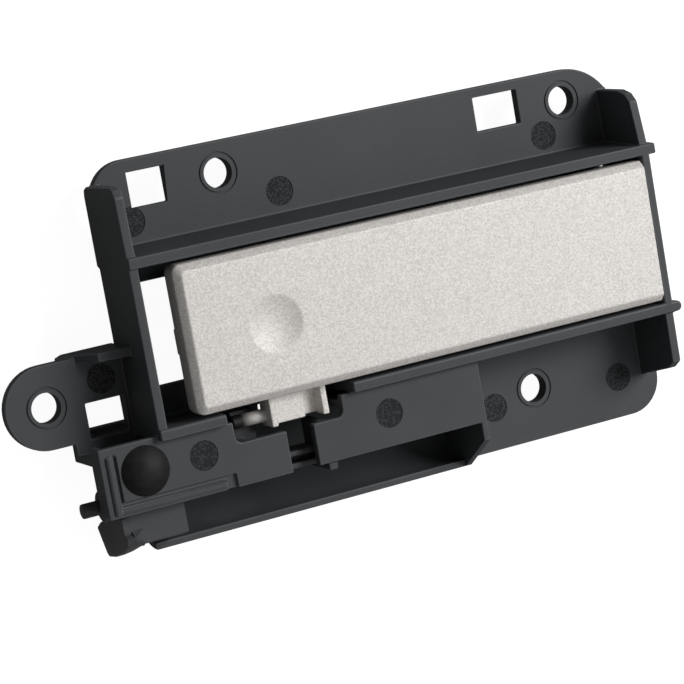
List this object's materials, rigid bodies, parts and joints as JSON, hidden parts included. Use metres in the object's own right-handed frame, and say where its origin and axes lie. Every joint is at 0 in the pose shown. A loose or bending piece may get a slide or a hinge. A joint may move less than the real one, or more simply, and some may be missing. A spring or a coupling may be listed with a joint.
{
  "type": "glove box latch",
  "caption": "Moulded latch housing with fixing flange, hinged push paddle between two rails and a spring-loaded pawl that the paddle turns to release a glove box lid.",
  "frame": {"origin": "middle of the bounding box's lowest face", "axes": "+X along the paddle to its hinge, +Y to the flange with the two upper screw holes, +Z out of the panel towards the user"},
  "size_m": [0.1572, 0.0832, 0.0268],
  "materials": {
    "base_housing": "moulded grey-black, fine grain with textured ejector marks",
    "push_paddle": "silver metallic paint",
    "hinge_pin": "drawn wire",
    "paddle_spring": "spring wire",
    "latch_pawl": "moulded, natural",
    "pawl_spring": "spring wire",
    "rubber_buffer": "moulded rubber"
  },
  "bodies": {
    "housing": {"base_housing": "base_housing", "hinge_pin": "hinge_pin", "paddle_spring": "paddle_spring", "rubber_buffer": "rubber_buffer"},
    "paddle": {"push_paddle": "push_paddle"},
    "pawl": {"latch_pawl": "latch_pawl", "pawl_spring": "pawl_spring"}
  },
  "joints": [
    {"name": "paddle_push", "type": "hinge", "parent": "housing", "child": "paddle", "pos_m": [0.06675, 0.00285, 0.0178], "axis": [0, -1, 0], "range_deg": [0, 3.8], "stiffness_Nm_per_rad": 0.6},
    {"name": "pawl_turn", "type": "hinge", "parent": "housing", "child": "pawl", "pos_m": [-0.04905, -0.02875, 0.0148], "axis": [-1, 0, 0], "range_deg": [0, 32.3], "stiffness_Nm_per_rad": 0.02}
  ],
  "couplings": [
    {"joint": "pawl_turn", "follows": "paddle_push", "ratio": 8.5}
  ]
}
